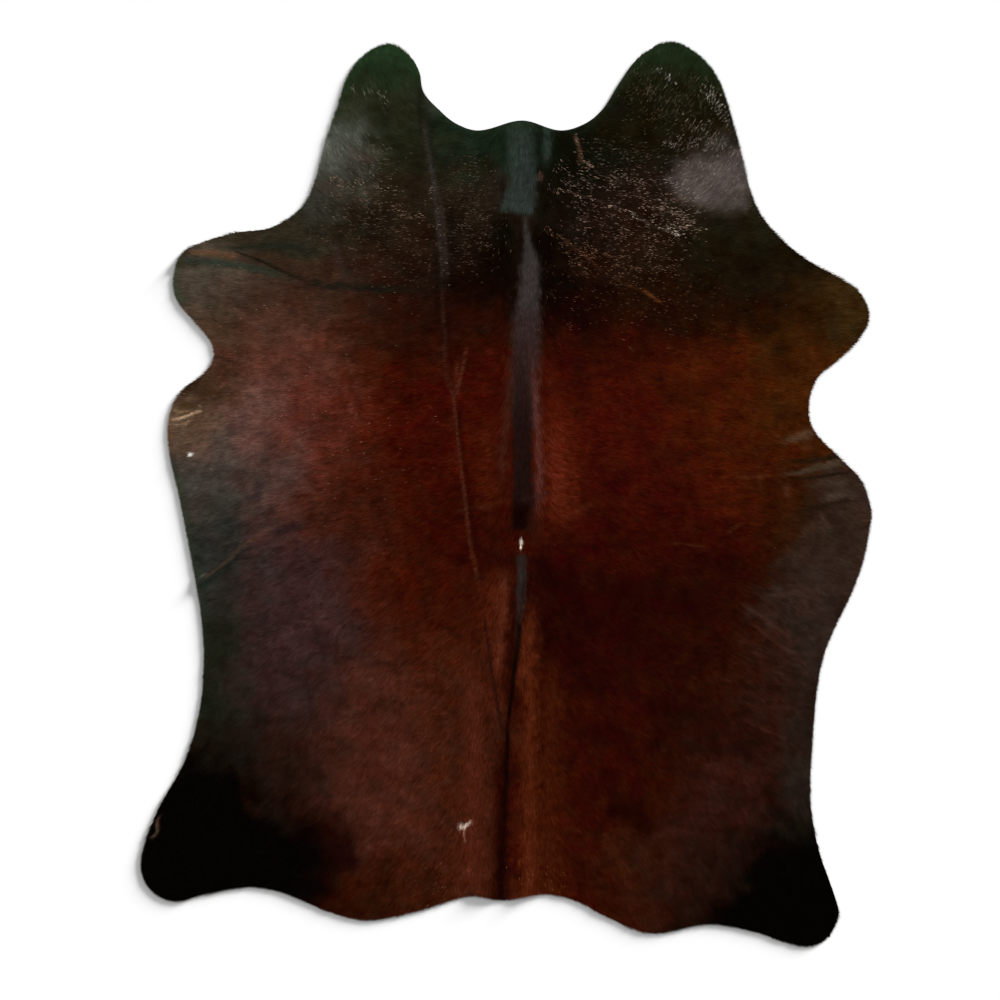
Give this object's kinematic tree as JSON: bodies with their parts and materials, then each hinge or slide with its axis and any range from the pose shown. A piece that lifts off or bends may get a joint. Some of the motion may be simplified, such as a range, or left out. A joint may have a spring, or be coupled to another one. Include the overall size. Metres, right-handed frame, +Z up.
{
  "type": "hair-on cowhide rug",
  "caption": "Whole hair-on cowhide laid flat as a rug, hair side up, with neck flaps, leg lobes, a pressed fold line, a tail furrow and low wrinkles.",
  "frame": {"origin": "on the floor, under the middle of the hide's outline", "axes": "+Y from the tail to the neck, +X to the right foreleg seen from above, +Z up out of the hair side"},
  "size_m": [1.777, 2.1998, 0.0105],
  "materials": {
    "coat": "short flat-lying hair, dark brown to black with a chestnut middle, soft sheen",
    "leather": "pale suede flesh side and cut edge"
  },
  "bodies": {
    "root": {"hide": "coat"}
  },
  "joints": []
}
